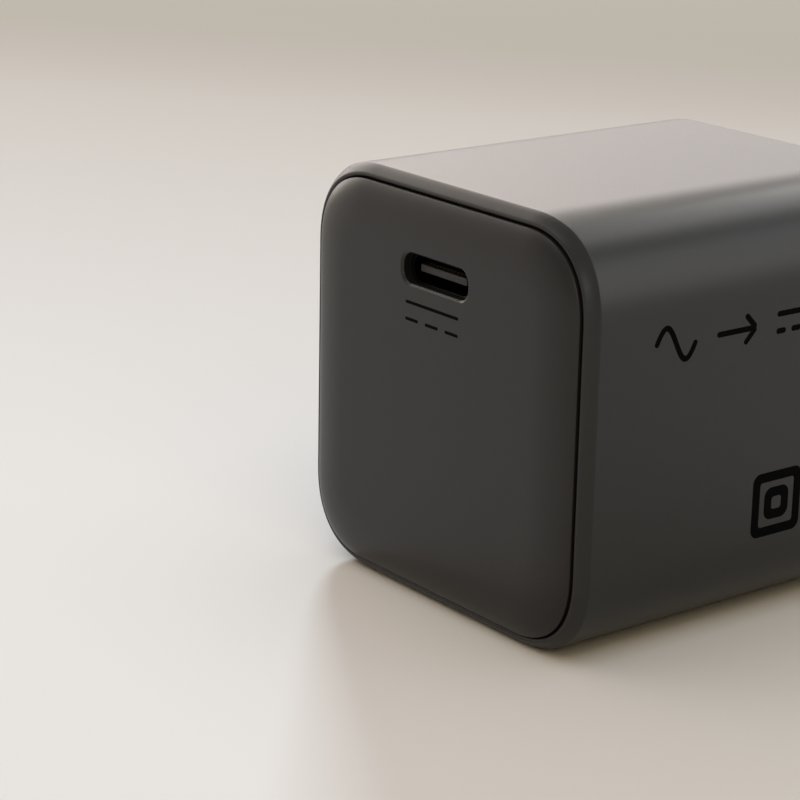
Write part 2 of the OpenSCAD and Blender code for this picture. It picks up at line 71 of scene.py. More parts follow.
# Puts an outline in width and height at a depth y, about the height z.
def ringAt(outline, y, z):
    return np.stack([outline[:, 0], np.full(len(outline), y), outline[:, 1] + z], axis=1)


# Points from ring a to ring b: (1 - t) a + t b for each t.
def between(a, b, t):
    t = np.asarray(t)[:, None, None]
    return (1 - t) * a[None] + t * b[None]


# Quads (i, j), (i, j + 1), (i + 1, j + 1), (i + 1, j) of a grid whose j wraps round, and whose
# i wraps too where the rings close on themselves.
def gridFaces(rows, columns, closed=False):
    i, j = np.meshgrid(np.arange(rows if closed else rows - 1), np.arange(columns), indexing="ij")
    k, n = (j + 1) % columns, (i + 1) % rows
    corners = [i * columns + j, i * columns + k, n * columns + k, n * columns + j]
    return np.stack(corners, axis=-1).reshape(-1, 4)


# Rings as one closed surface: a loop of rings, or a stack whose two ends are filled with fans
# about the middle of each end ring.
def closedSurface(rings, loop=False):
    rows, columns = rings.shape[:2]
    faces = gridFaces(rows, columns, loop).tolist()
    points = rings.reshape(-1, 3)
    if loop:
        return points, faces
    j = np.arange(columns)
    k = (j + 1) % columns
    last = (rows - 1) * columns
    first = np.full(columns, rows * columns)
    faces += np.stack([k, j, first], axis=1).tolist()
    faces += np.stack([last + j, last + k, first + 1], axis=1).tolist()
    return np.concatenate([points, rings[:1].mean(axis=1), rings[-1:].mean(axis=1)]), faces


# Arc of radius r about (a, b) from angle p to angle q in degrees, as (a + r cos, b + r sin).
def arcPoints(a, b, r, p, q, count):
    t = np.radians(np.linspace(p, q, count))
    return np.stack([a + r * np.cos(t), b + r * np.sin(t)], axis=1)


# Turns (radius, depth) pairs about an axis along y through (x, z): x + r cos, y, z + r sin.
def turned(profile, x, z, count=72):
    t = np.linspace(0, 2 * math.pi, count, endpoint=False)
    r, y = profile[:, 0][:, None], profile[:, 1][:, None]
    return np.stack([x + r * np.cos(t), y + 0 * t, z + r * np.sin(t)], axis=-1)


meshing = {"merge": 2e-7, "sharpAngle": 32.0}  # metres and degrees


# Joins the surfaces into one mesh, merges equal points, turns faces outwards and keeps edges
# above the sharp angle sharp. Faces whose middle passes the test `second` get the second finish.
def makePiece(name, surfaces, materials, stands=(), second=None):
    points, faces, start = [], [], 0
    for part, quads in surfaces:
        points.append(part)
        faces += [[i + start for i in quad] for quad in quads]
        start += len(part)
    mesh = bpy.data.meshes.new(name)
    mesh.from_pydata((np.concatenate(points) * mm).tolist(), [], faces)
    work = bmesh.new()
    work.from_mesh(mesh)
    bmesh.ops.remove_doubles(work, verts=work.verts, dist=meshing["merge"])
    bmesh.ops.recalc_face_normals(work, faces=work.faces)
    work.to_mesh(mesh)
    work.free()
    mesh.polygons.foreach_set("use_smooth", np.ones(len(mesh.polygons), dtype=bool))
    mesh.set_sharp_from_angle(angle=math.radians(meshing["sharpAngle"]))
    for material in materials:
        mesh.materials.append(material)
    if second:
        middles = np.empty(3 * len(mesh.polygons))
        mesh.polygons.foreach_get("center", middles)
        which = second(middles.reshape(-1, 3) / mm).astype(np.int32)
        mesh.polygons.foreach_set("material_index", which)
    piece = bpy.data.objects.new(name, mesh)
    bpy.context.scene.collection.objects.link(piece)
    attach(piece, "root")
    if stands:
        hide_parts(*stands)
    print("made", name, len(mesh.polygons), "faces")


# Materials

# Starts a material and hands back what the finishes below need.
def startFinish(name):
    material = bpy.data.materials.new(name)
    material.use_nodes = True
    nodes, links = material.node_tree.nodes, material.node_tree.links
    return material, nodes, links, nodes["Principled BSDF"]


# Noise on object coordinates with grains of the given size in millimetres.
def grain(nodes, links, size, detail, stretch):
    where = nodes.new("ShaderNodeTexCoord")
    place = nodes.new("ShaderNodeMapping")
    place.inputs["Scale"].default_value = stretch
    noise = nodes.new("ShaderNodeTexNoise")
    noise.inputs["Scale"].default_value = 1 / (size * mm)
    noise.inputs["Detail"].default_value = detail
    links.new(where.outputs["Object"], place.inputs["Vector"])
    links.new(place.outputs["Vector"], noise.inputs["Vector"])
    return noise.outputs["Fac"]


# Carries a factor from one range to another.
def ranged(nodes, links, factor, low, high, start=0.3, stop=0.7):
    step = nodes.new("ShaderNodeMapRange")
    step.inputs["From Min"].default_value = start
    step.inputs["From Max"].default_value = stop
    step.inputs["To Min"].default_value = low
    step.inputs["To Max"].default_value = high
    links.new(factor, step.inputs["Value"])
    return step.outputs["Result"]


# Colour between two near tones by a factor.
def twoTones(nodes, links, factor, dark, light):
    mix = nodes.new("ShaderNodeMix")
    mix.data_type = "RGBA"
    mix.inputs["A"].default_value = (*dark, 1)
    mix.inputs["B"].default_value = (*light, 1)
    links.new(factor, mix.inputs["Factor"])
    return mix.outputs["Result"]


# Height from a factor, in millimetres.
def relief(nodes, links, shader, factor, depth):
    bump = nodes.new("ShaderNodeBump")
    bump.inputs["Strength"].default_value = 1.0
    bump.inputs["Distance"].default_value = depth * mm
    links.new(factor, bump.inputs["Height"])
    links.new(bump.outputs["Normal"], shader.inputs["Normal"])


# A finish of two near tones and of a roughness that varies by rough +- spread, with grains of
# the given size and a relief of the given depth in millimetres.
def finish(name, dark, light, rough, size, spread, depth=0.0, metal=0.0, specular=0.5,
           stretch=(1, 1, 1)):
    material, nodes, links, shader = startFinish(name)
    broad = ranged(nodes, links, grain(nodes, links, size * 6, 3.0, stretch), 0, 1)
    fine = grain(nodes, links, size, 2.0, stretch)
    links.new(twoTones(nodes, links, broad, dark, light), shader.inputs["Base Color"])
    links.new(ranged(nodes, links, fine, rough - spread, rough + spread), shader.inputs["Roughness"])
    if depth:
        relief(nodes, links, shader, fine, depth)
    shader.inputs["Metallic"].default_value = metal
    shader.inputs["Specular IOR Level"].default_value = specular
    return material


satin = {
    "housing": ((0.0138, 0.0138, 0.0133), (0.0153, 0.0153, 0.0147)),
    "cover": ((0.0094, 0.0080, 0.0069), (0.0106, 0.0090, 0.0078)),
    "rough": 0.36,
    "specular": 0.36,
    "grain": 0.16,
    "spread": 0.02,
    "depth": 0.0006,
}


# Satin finish of one of the two mouldings, which share all but their tones.
def satinFinish(part):
    return finish(
        part + " satin moulding", *satin[part], satin["rough"], satin["grain"], satin["spread"],
        satin["depth"], specular=satin["specular"])


housingFinish = satinFinish("housing")
coverFinish = satinFinish("cover")
inkFinish = finish(
    "printed black ink", (0.0006, 0.0006, 0.0006), (0.0010, 0.0009, 0.0009), 0.6, 0.1, 0.03,
    specular=0.02)
# Painted shade: the cover's own slot walls and pocket painted near black, where the inside of the port
# lies in shade.
portShadeFinish = finish(
    "port walls painted black as shade", (0.0070, 0.0067, 0.0062), (0.0084, 0.0080, 0.0075), 0.6, 0.2, 0.04,
    0.0004, specular=0.12)
# Painted shade: the drawn steel shell is made near black, so that the inside of the port stays as dark
# as its shade.
portShellShadeFinish = finish(
    "drawn shell darkened as port shade", (0.0050, 0.0048, 0.0047), (0.0065, 0.0062, 0.0060), 0.5, 0.2,
    0.05, 0.0004, metal=1.0, stretch=(1, 0.2, 1))
tongueFinish = finish(
    "grey tongue plastic", (0.034, 0.032, 0.031), (0.041, 0.039, 0.037), 0.5, 0.2, 0.03, 0.0005,
    specular=0.25)
# Painted shade: the gold of the contacts is darkened, as they lie in the shade inside the port.
shadedGoldFinish = finish(
    "gold contacts darkened as shade", (0.13, 0.088, 0.035), (0.17, 0.115, 0.050), 0.42, 0.15, 0.05,
    metal=1.0)
pinFinish = finish(
    "nickel plated pins", (0.58, 0.56, 0.52), (0.66, 0.64, 0.60), 0.24, 0.25, 0.06, 0.0006,
    metal=1.0, stretch=(0.3, 4, 0.3))
sleeveFinish = finish(
    "black pin sleeve", (0.012, 0.012, 0.012), (0.018, 0.017, 0.017), 0.5, 0.2, 0.04, 0.0006)
print("outer finishes made")


# Body

body = {
    "halfWidth": 19.988,
    "halfHeight": 20.0,
    "middle": 20.0,
    "front": -20.95,
    "back": 21.25,
    "cornerReach": 8.8,
    "cornerPower": 2.35,
    "wall": 2.2,
    "rimArcs": ((0.35, 24.0, 6), (2.86, 48.0, 12), (0.3, 180.0, 16)),  # radius, end angle, steps
    "rearRim": 1.25,
    "backInner": 0.08,
    "backRadius": 1.2,
    "seat": -19.75,
    "rearSeat": 19.45,
    "railTop": 5.0,
    "railInner": 14.964,
    "railFront": -15.61,
    "railBack": 16.05,
    "railRoot": 1.1,
    "railOuter": 18.6,
    "railShoulder": 18.3,
    "railSoft": 0.15,
    "longRun": 0.15,
    "shortRun": 0.1,
}


# Outline of the body at a distance in from its sides: the corner's middle stays and its reach
# becomes R - d.
def bodyOutline(inset):
    sizes = (body[key] - inset for key in ("halfWidth", "halfHeight", "cornerReach"))
    return wholeOutline(quarterOutline(*sizes, body["cornerPower"]))


# Distance in from the sides: the lesser of W - |x| and H - |z|, or R - (|u|^k + |v|^k)^(1/k)
# in a corner.
def bodyInset(x, z):
    reach, k = body["cornerReach"], body["cornerPower"]
    x, z = np.abs(x), np.abs(z)
    u = np.maximum(x - body["halfWidth"] + reach, 0)
    v = np.maximum(z - body["halfHeight"] + reach, 0)
    flat = np.minimum(body["halfWidth"] - x, body["halfHeight"] - z)
    return np.where((u > 0) & (v > 0), reach - (u ** k + v ** k) ** (1 / k), flat)


# Rim as (distance in, depth) from the side round to the gap: arcs that follow one another, and
# one of radius r from angle p to q goes in by r (cos p - cos q), forward by r (sin q - sin p).
def rimCurve():
    curve, p = np.zeros((1, 2)), 0.0
    for radius, end, steps in body["rimArcs"]:
        q = np.radians(np.linspace(math.degrees(p), end, steps + 1))[1:]
        step = np.stack([math.cos(p) - np.cos(q), math.sin(p) - np.sin(q)], axis=1)
        curve = np.concatenate([curve, curve[-1] + radius * step])
        p = math.radians(end)
    return curve + [0, body["front"] - curve[:, 1].min()]


# Wall of the body as (distance in, depth): side, rim, groove, seat, cavity, rear recess and
# rounded back edge, with short runs beside each round so that flats stay flat.
def wallProfile():
    b, long, short = body, body["longRun"], body["shortRun"]
    back, inner, rear = b["backRadius"], b["backInner"], b["rearRim"]
    rim = rimCurve()
    start, end = rim[0, 1], rim[-1]
    return np.concatenate([
        [[0, b["back"] - back - long], [0, start + long]], rim,
        [[end[0], end[1] + short], [end[0], b["seat"]]],
        [[b["wall"], b["seat"]], [b["wall"], b["rearSeat"]], [rear, b["rearSeat"]]],
        [[rear, b["back"] - inner - short]],
        arcPoints(rear - inner, b["back"] - inner, inner, 0, 90, 6),
        arcPoints(back, b["back"] - back, back, 90, 180, 15),
    ])


# Rail of the main board, as a loop carried along y. It runs from its inner face out to the
# middle of the wall, whose rounded corner it follows as z = R - (r^k - u^k)^(1/k).
def railSection(sign):
    b, soft, top = body, body["railSoft"], body["railTop"]
    reach, k = b["cornerReach"] - b["railRoot"], b["cornerPower"]
    x = np.linspace(b["railInner"], b["railOuter"], 12)
    u = np.clip(x - b["halfWidth"] + b["cornerReach"], 0, reach)
    low = b["cornerReach"] - (reach ** k - u ** k) ** (1 / k)
    keep = low < top
    loop = np.concatenate([
        np.stack([x[keep], low[keep]], axis=1),
        [[b["railShoulder"], top], [b["railInner"] + soft, top], [b["railInner"], top - soft]],
    ])
    rings = [np.stack([sign * loop[:, 0], np.full(len(loop), y), loop[:, 1]], axis=1)
             for y in (b["railFront"], b["railBack"])]
    return closedSurface(np.array(rings))


profile = wallProfile()
wallRings = np.array([ringAt(bodyOutline(d), y, body["middle"]) for d, y in profile])
makePiece("housing", [closedSurface(wallRings, True), railSection(1), railSection(-1)],
          [housingFinish], ["housing_shell"])


# Front cover

cover = {
    "inset": 1.31,
    "face": -22.108,
    "crownWidth": 5.0,
    "crown": ((0.758, 2.2), (0.22, 12.0)),  # height and power of each term
    "edgeRadius": 0.16,
    "edgeSide": 0.12,
    "bandWidth": 2.6,
    "skirtInset": 2.35,
    "skirtThickness": 1.2,
    "skirtBack": -16.75,
    "portHeight": 32.0,
    "portHalf": (4.7, 1.43),
    "portRadius": 1.2,
    "bevel": 0.2,
    "bevelSoft": 0.025,
    "bevelBack": 0.08,
    "bevelMargin": 0.12,
    "faceSteps": 48,
    "pocketDepth": -21.27,
    "pocketHalf": (4.59, 1.70),
    "collar": 1.2,
    "collarBack": -18.15,
    # margins of the painted port shade beyond the slot, across and up
    "shadeSlack": (0.02, 0.3),
}


# Depth of the cover at a distance e in from its own edge: face + the sum of h s^p over the
# terms of the crown, with s = 1 - e / w, and the face itself further in.
def crownDepth(e):
    s = np.clip(1 - e / cover["crownWidth"], 0, 1)
    return cover["face"] + sum(h * s ** p for h, p in cover["crown"])


# Slope of the crown at e, which is the sum of h p s^(p - 1) / w.
def crownSlope(e):
    s = max(1 - e / cover["crownWidth"], 0)
    return sum(h * p * s ** (p - 1) for h, p in cover["crown"]) / cover["crownWidth"]


# Edge of the cover as (distance in, depth): the side, then an arc that touches both the side
# and the crown, whose middle lies one radius behind the crown's tangent.
def coverEdge():
    r = cover["edgeRadius"]
    lean = math.atan(crownSlope(r))
    for turn in range(4):
        lean = math.atan(crownSlope(r * (1 - math.sin(lean))))
    touch = r * (1 - math.sin(lean))
    middle = float(crownDepth(touch)) + r * math.cos(lean)
    arc = arcPoints(r, middle, r, 180, 270 - math.degrees(lean), 9)
    side = [[0, body["seat"]], [0, middle + cover["edgeSide"]]]
    further = touch + cover["bandWidth"] * np.linspace(0, 1, 19)[1:] ** 1.6
    return np.concatenate([side, arc, np.stack([further, crownDepth(further)], axis=1)])


# Outline of the port slot, grown by a distance.
def portOutline(grow):
    w, h = cover["portHalf"]
    return wholeOutline(quarterOutline(w + grow, h + grow, cover["portRadius"] + grow))


# Oval of the receptacle pocket, grown by a distance.
def pocketOutline(grow):
    w, h = cover["pocketHalf"]
    return wholeOutline(quarterOutline(w + grow, h + grow, h + grow))


# Rings of the cover, from its edge over the face into the port, through the pocket and round
# the collar and the skirt. Each point of the face takes its depth from its inset.
def coverRings():
    c, z, port = cover, body["middle"], cover["portHeight"]
    b, soft = c["bevel"], c["bevelSoft"]
    rings = [ringAt(bodyOutline(c["inset"] + e), y, z) for e, y in coverEdge()]
    mouth = ringAt(portOutline(b + c["bevelMargin"]), 0, port)
    face = between(rings[-1], mouth, np.linspace(0, 1, c["faceSteps"] + 1)[1:] ** 0.8)
    face[:, :, 1] = crownDepth(bodyInset(face[:, :, 0], face[:, :, 2] - z) - c["inset"])
    rings += list(face)
    # The bevel as (grown by, depth), with a short round where it leaves the face and the slot.
    rings += [ringAt(portOutline(g), c["face"] + y, port) for g, y in (
        (b + soft, 0.0), (b + 0.4 * soft, 0.25 * soft), (b - 0.35 * soft, 0.7 * soft),
        (0.7 * soft, b - 0.35 * soft), (0.25 * soft, b + 0.1 * soft), (0.0, b + soft),
        (0.0, b + soft + c["bevelBack"]))]
    inner, outer = pocketOutline(0), pocketOutline(c["collar"])
    rings += [ringAt(portOutline(0), c["pocketDepth"], port), ringAt(inner, c["pocketDepth"], port),
              ringAt(inner, c["collarBack"], port), ringAt(outer, c["collarBack"], port)]
    within, without = bodyOutline(c["skirtInset"] + c["skirtThickness"]), bodyOutline(c["skirtInset"])
    root, skirt = ringAt(outer, body["seat"], port), ringAt(within, body["seat"], z)
    rings += list(between(root, skirt, [0, 0.25, 0.5, 0.75, 1]))
    rings += [ringAt(within, c["skirtBack"], z), ringAt(without, c["skirtBack"], z),
              ringAt(without, body["seat"], z)]
    return np.array(rings)


# True behind the bevel of the port and no further out than the pocket: the cover's slot walls and
# pocket, which get the painted shade.
def inPortShade(middles):
    x, y, z = middles.T
    w, h = cover["portHalf"]
    near, above = cover["shadeSlack"]
    around = (np.abs(x) < w + near) & (np.abs(z - cover["portHeight"]) < h + above)
    return around & (y > cover["face"] + cover["bevel"] + near)


# The cover's slot walls and pocket take the painted shade of the port as their second finish.
makePiece("front_cover_shell", [closedSurface(coverRings(), True)],
          [coverFinish, portShadeFinish], ["front_cover"], second=inPortShade)


# Receptacle

receptacle = {
    "height": 32.0,
    "half": (4.47, 1.58),
    "thickness": 0.3,
    "mouth": -21.21,
    "back": -14.21,
    "lip": 0.1,
    "tongueHalf": (3.345, 0.35),
    "tongueRadius": 0.14,
    "tongueEdge": 0.08,
    "tongueTip": -21.01,
    "tongueRoot": -16.11,
    "blockHalf": (4.14, 1.25),
}


# Oval or rounded bar outline of half sizes (w, h) shrunk by a distance.
def barOutline(half, radius, inset=0.0):
    return wholeOutline(quarterOutline(half[0] - inset, half[1] - inset, radius - inset))


# Shell as a loop of rings: its outside, the rounded lip at its mouth, and its inside.
def receptacleRings():
    r = receptacle
    t, lip, radius = r["thickness"], r["lip"], r["half"][1]
    profile = np.concatenate([
        [[0.0, r["back"]], [0.0, r["mouth"] + lip + 0.1]],
        arcPoints(lip, r["mouth"] + lip, lip, 180, 270, 5),
        arcPoints(t - lip, r["mouth"] + lip, lip, 270, 360, 5),
        [[t, r["mouth"] + lip + 0.1], [t, r["back"]]],
    ])
    return np.array([ringAt(barOutline(r["half"], radius, d), y, r["height"]) for d, y in profile])


# Tongue from its tip, whose edge is a quarter round as (inset, depth) in shares of its radius,
# to its root and the block that carries it.
def tongueRings():
    r, z = receptacle, receptacle["height"]
    e, block = r["tongueEdge"], r["blockHalf"]
    tip = [(1, 0), (0.62, 0.07), (0.29, 0.29), (0.07, 0.62), (0, 1), (0, 3)]
    rings = [ringAt(barOutline(r["tongueHalf"], r["tongueRadius"], d * e), r["tongueTip"] + y * e, z)
             for d, y in tip]
    rings += [ringAt(barOutline(r["tongueHalf"], r["tongueRadius"]), r["tongueRoot"], z),
              ringAt(barOutline(block, block[1]), r["tongueRoot"], z),
              ringAt(barOutline(block, block[1]), r["back"], z)]
    return np.array(rings)


makePiece("port_shell", [closedSurface(receptacleRings(), True)], [portShellShadeFinish],
          ["receptacle_shell"])
makePiece("port_tongue", [closedSurface(tongueRings())], [tongueFinish],
          ["receptacle_tongue"])


# Plug behind

plug = {
    "inset": 1.45,
    "edge": 0.15,
    "half": (17.65, 6.85),
    "flat": 13.05,
    "cornerRadius": 2.4,
    "rootFillet": 0.4,
    "end": 39.25,
    "endRadius": 0.8,
    "wall": 2.0,
    "endInner": 36.05,
    "pinSpacing": 9.5,
    "holeRadius": 2.25,
    "holeMargin": 0.25,
    "holeEdge": ((0.12, 0.03), (0.04, 0.1), (0.0, 0.2)),  # grown by, and how far behind the end
    "skirtEnd": 16.45,
    "splitPoints": 11,
}


# Quarter of the plug head from (w, 0) to (0, h), with its end slanted at 45 degrees. Both
# bends are arcs of radius r - d about middles that stay where they are as the inset d grows.
def headQuarter(inset):
    (w, h), flat, r = plug["half"], plug["flat"], plug["cornerRadius"]
    low = h - (w - flat)
    bend = r * math.tan(math.radians(22.5))
    first = np.array([w - r, low - bend])
    second = np.array([flat - bend, h - r])
    corner = segments["corner"]
    bends = corner // 3
    one = arcPoints(*first, r - inset, 0, 45, bends + 1)
    two = arcPoints(*second, r - inset, 45, 90, bends + 1)
    slant = between(one[-1:], two[:1], np.linspace(0, 1, corner - 2 * bends + 1)[1:-1]).reshape(-1, 2)
    side, top = segments["side"], segments["top"]
    rise = one[0, 1] * np.sin(np.linspace(0, math.pi / 2, side + 1))[:-1]
    right = np.stack([np.full(side, w - inset), rise], axis=1)
    run = two[-1, 0] * np.sin(np.linspace(math.pi / 2, 0, top + 1))[1:]
    upper = np.stack([run, np.full(top, h - inset)], axis=1)
    return np.abs(np.concatenate([right, one, slant, two, upper]))


# Whole outline of the plug head at a distance in.
def headOutline(inset):
    return wholeOutline(headQuarter(inset))


# Half of an end ring as a loop: its points at sign * x >= 0, then the split line x = 0 back
# down to the start.
def halfLoop(outline, sign):
    quarter = len(outline) // 4
    right = np.concatenate([outline[3 * quarter:], outline[:quarter + 1]])
    split = np.linspace(right[-1, 1], right[0, 1], plug["splitPoints"] + 2)[1:-1]
    loop = np.concatenate([right, np.stack([0 * split, split], axis=1)])
    return loop * [sign, 1]


# Circle point in the same direction from the pin's middle as each point of the loop.
def circleFor(loop, sign, radius):
    middle = np.array([sign * plug["pinSpacing"], 0])
    away = loop - middle
    return middle + radius * away / np.linalg.norm(away, axis=1, keepdims=True)


# One half of the plug's end: from the end ring in to the pin hole, through it, and out again
# to the ring inside the head.
def endHalf(sign):
    p, z = plug, body["middle"]
    outer, inner = halfLoop(headOutline(p["endRadius"]), sign), halfLoop(headOutline(p["wall"]), sign)
    hole = p["holeRadius"]
    mouth = ringAt(circleFor(outer, sign, hole + p["holeMargin"]), p["end"], z)
    rings = list(between(ringAt(outer, p["end"], z), mouth, np.linspace(0, 1, 7)))
    rings += [ringAt(circleFor(outer, sign, hole + g), p["end"] - y, z) for g, y in p["holeEdge"]]
    behind = ringAt(circleFor(inner, sign, hole), p["endInner"], z)
    rings += list(between(behind, ringAt(inner, p["endInner"], z), np.linspace(0, 1, 5)))
    rings = np.array(rings)
    return rings.reshape(-1, 3), gridFaces(*rings.shape[:2]).tolist()


# Plate, head and skirt of the rear cover as one strip of rings from the outer end ring round
# to the inner one.
def rearStrip():
    p, c, b, z = plug, cover, body, body["middle"]
    e, f, r = p["edge"], p["rootFillet"], p["endRadius"]
    long, short = b["longRun"], b["shortRun"]
    rings = [ringAt(headOutline(d), y, z) for d, y in arcPoints(r, p["end"] - r, r, 90, 180, 10)]
    rings += [ringAt(headOutline(0), y, z) for y in (p["end"] - r - long, b["back"] + f + long)]
    rings += [ringAt(headOutline(d), y, z) for d, y in arcPoints(-f, b["back"] + f, f, 0, -90, 7)]
    root = ringAt(headOutline(-f - short), b["back"], z)
    rim = ringAt(bodyOutline(p["inset"] + e + short), b["back"], z)
    rings += list(between(root, rim, np.linspace(0, 1, 7)))
    rings += [ringAt(bodyOutline(p["inset"] + d), y, z)
              for d, y in arcPoints(e, b["back"] - e, e, 90, 180, 5)]
    skirt = c["skirtInset"]
    inner = skirt + c["skirtThickness"]
    rings += [ringAt(bodyOutline(d), y, z) for d, y in (
        (p["inset"], b["rearSeat"]), (skirt, b["rearSeat"]), (skirt, p["skirtEnd"]),
        (inner, p["skirtEnd"]), (inner, b["rearSeat"]))]
    rings += list(between(rings[-1], ringAt(headOutline(p["wall"]), b["rearSeat"], z), [0.5, 1]))
    rings += [ringAt(headOutline(p["wall"]), p["endInner"], z)]
    rings = np.array(rings)
    return rings.reshape(-1, 3), gridFaces(*rings.shape[:2]).tolist()


makePiece("plug_head", [rearStrip(), endHalf(1), endHalf(-1)], [housingFinish],
          ["rear_cover"])

pin = {
    "tailRadius": 1.45,
    "tail": 31.85,
    "flange": (2.8, 34.85, 36.05),
    "stemRadius": 2.2,
    "bareRadius": 2.0,
    "bareStart": 49.25,
    "tipRadius": 1.6,
    "end": 58.25,
    "sleeveRadius": 1.8,
    "sleeveInner": 1.5,
    "sleeveFoot": 2.15,
    "footDeep": 0.35,
    "footGap": 0.01,
    "turning": 0.1,
}


# Pin as (radius, depth): tail, flange, stem, neck, bare end and its rounded tip.
def pinProfile():
    p, s, r = pin, pin["turning"], pin["tipRadius"]
    wide, low, high = p["flange"]
    neck = plug["end"] - p["footDeep"]
    return np.concatenate([
        [[p["tailRadius"] - s, p["tail"]], [p["tailRadius"], p["tail"] + s], [p["tailRadius"], low]],
        [[wide - s, low], [wide, low + s], [wide, high - s], [wide - s, high]],
        [[p["stemRadius"], high], [p["stemRadius"], neck]],
        [[p["tailRadius"], neck], [p["tailRadius"], p["bareStart"]]],
        arcPoints(p["bareRadius"] - s, p["bareStart"] + s, s, -90, 0, 4),
        [[p["bareRadius"], p["end"] - r - s]],
        arcPoints(p["bareRadius"] - r, p["end"] - r, r, 0, 90, 14),
    ])


# Sleeve as a loop of (radius, depth): bore, the foot that fills the hole in the plug head,
# and the sleeve with its rounded end.
def sleeveProfile():
    s, bore, foot, r = (pin[key] for key in ("turning", "sleeveInner", "sleeveFoot", "sleeveRadius"))
    face, high = plug["end"], pin["bareStart"]
    low = face - pin["footDeep"] + pin["footGap"]
    return np.concatenate([
        [[bore, high], [bore, low], [foot, low], [foot, face - s]],
        [[foot - s, face], [r + s, face], [r, face + s], [r, face + 3 * s], [r, high - 2 * s]],
        arcPoints(r - s, high - s, s, 0, 90, 5),
    ])


for side, sign in (("left", -1), ("right", 1)):
    x, z = sign * plug["pinSpacing"], body["middle"]
    makePiece("pin_" + side, [closedSurface(turned(pinProfile(), x, z))], [pinFinish],
              ["mains_pin_" + side])
    makePiece("sleeve_" + side, [closedSurface(turned(sleeveProfile(), x, z), True)], [sleeveFinish],
              ["pin_sleeve_" + side])


# Printed marks

marks = {
    "ink": 0.006,
    "lift": (0.003, 0.001),  # of the strokes of the arrow's head: of both, and more for one
    "fine": 0.15,
    "thin": 0.27,
    "bold": 0.47,
    "dcFront": {"left": -4.1, "right": 3.6, "bar": 28.85, "dashes": 27.25, "gap": 1.0},
    "wave": {"start": -13.4, "end": -8.6, "middle": 28.75, "rise": 1.55},
    "arrow": {"start": -6.1, "end": -1.3, "middle": 28.75, "head": 1.35},
    "dcSide": {"left": 1.3, "right": 6.3, "bar": 29.55, "dashes": 27.95, "gap": 0.7},
    "square": {"middle": (2.7, 11.5), "half": 3.1, "inner": 1.55, "radii": (0.9, 0.3)},
}


# Half width of a stroke at a distance s from its nearer end: w sqrt(1 - (1 - s / w)^2), which
# rounds the end, and w further in.
def strokeWidth(s, w):
    t = np.clip(1 - s / w, 0, 0.995)
    return w * np.sqrt(1 - t * t)


# Evenly spaced points along a path, with extra ones near both ends at w (1 - cos t).
def alongPath(path, w, count):
    step = np.linalg.norm(np.diff(path, axis=0), axis=1)
    s = np.concatenate([[0], np.cumsum(step)])
    ends = w * (1 - np.cos(np.linspace(0, math.pi / 2, 9)[:-1]))
    where = np.concatenate([ends, np.linspace(w, s[-1] - w, count), s[-1] - ends[::-1]])
    points = np.stack([np.interp(where, s, path[:, 0]), np.interp(where, s, path[:, 1])], axis=1)
    return points, where, s[-1]


# Stroke of ink: four points across, carried along the path. place(a, b, out) puts it on its
# face, and out is the height of the ink. A stroke that crosses another is lifted above it.
def stroke(path, w, place, count=24, lift=0.0):
    points, where, length = alongPath(np.asarray(path, dtype=float), w, count)
    along = np.gradient(points, where, axis=0)
    along /= np.linalg.norm(along, axis=1, keepdims=True)
    across = np.stack([-along[:, 1], along[:, 0]], axis=1)
    width = strokeWidth(np.minimum(where, length - where), w)[:, None]
    left, right = points + across * width, points - across * width
    top = marks["ink"] + lift
    rows = [place(left, 0.0), place(left, top), place(right, top), place(right, 0.0)]
    return closedSurface(np.stack(rows, axis=1))


# Band of ink between two closed outlines, as a loop of four rings.
def band(outer, inner, place):
    top = marks["ink"]
    rings = [place(outer, 0.0), place(outer, top), place(inner, top), place(inner, 0.0)]
    return closedSurface(np.stack(rings), True)


# Puts points (a, b) on the flat of the cover: (a, face - out, b).
def onFront(ab, out):
    return np.stack([ab[:, 0], np.full(len(ab), cover["face"] - out), ab[:, 1]], axis=1)


# Puts points (a, b) on the right side of the body: (half width + out, a, b).
def onRight(ab, out):
    return np.stack([np.full(len(ab), body["halfWidth"] + out), ab[:, 0], ab[:, 1]], axis=1)


# Direct-current sign: one long bar over three dashes.
def directCurrent(d, w, place):
    strokes = [stroke([(d["left"], d["bar"]), (d["right"], d["bar"])], w, place)]
    dash = (d["right"] - d["left"] - 2 * d["gap"]) / 3
    for i in range(3):
        start = d["left"] + i * (dash + d["gap"])
        strokes.append(stroke([(start, d["dashes"]), (start + dash, d["dashes"])], w, place, 8))
    return strokes


# Signs on the right side: alternating current as one wave middle + rise sin(2 pi t), an arrow,
# direct current, and a square in a square for double insulation.
def sideMarks():
    wave, arrow, square, w = marks["wave"], marks["arrow"], marks["square"], marks["thin"]
    t = np.linspace(0, 1, 200)
    run = wave["start"] + t * (wave["end"] - wave["start"])
    sine = np.stack([run, wave["middle"] + wave["rise"] * np.sin(2 * math.pi * t)], axis=1)
    tip = (arrow["end"], arrow["middle"])
    strokes = [stroke(sine, w, onRight, 90), stroke([(arrow["start"], tip[1]), tip], w, onRight)]
    lift, more = marks["lift"]
    for turn in (-1, 1):
        start = (tip[0] - arrow["head"], tip[1] + turn * arrow["head"])
        strokes.append(stroke([start, tip], w, onRight, lift=lift + more * turn))
    strokes += directCurrent(marks["dcSide"], w, onRight)
    soft, tight = square["radii"]
    for half in (square["half"], square["inner"]):
        less = half - 2 * marks["bold"]
        outer = wholeOutline(quarterOutline(half, half, soft)) + square["middle"]
        inner = wholeOutline(quarterOutline(less, less, tight)) + square["middle"]
        strokes.append(band(outer, inner, onRight))
    return strokes


makePiece("front_mark", directCurrent(marks["dcFront"], marks["fine"], onFront), [inkFinish])
makePiece("side_marks", sideMarks(), [inkFinish])
print("printed marks made")


# Finishes of the parts inside

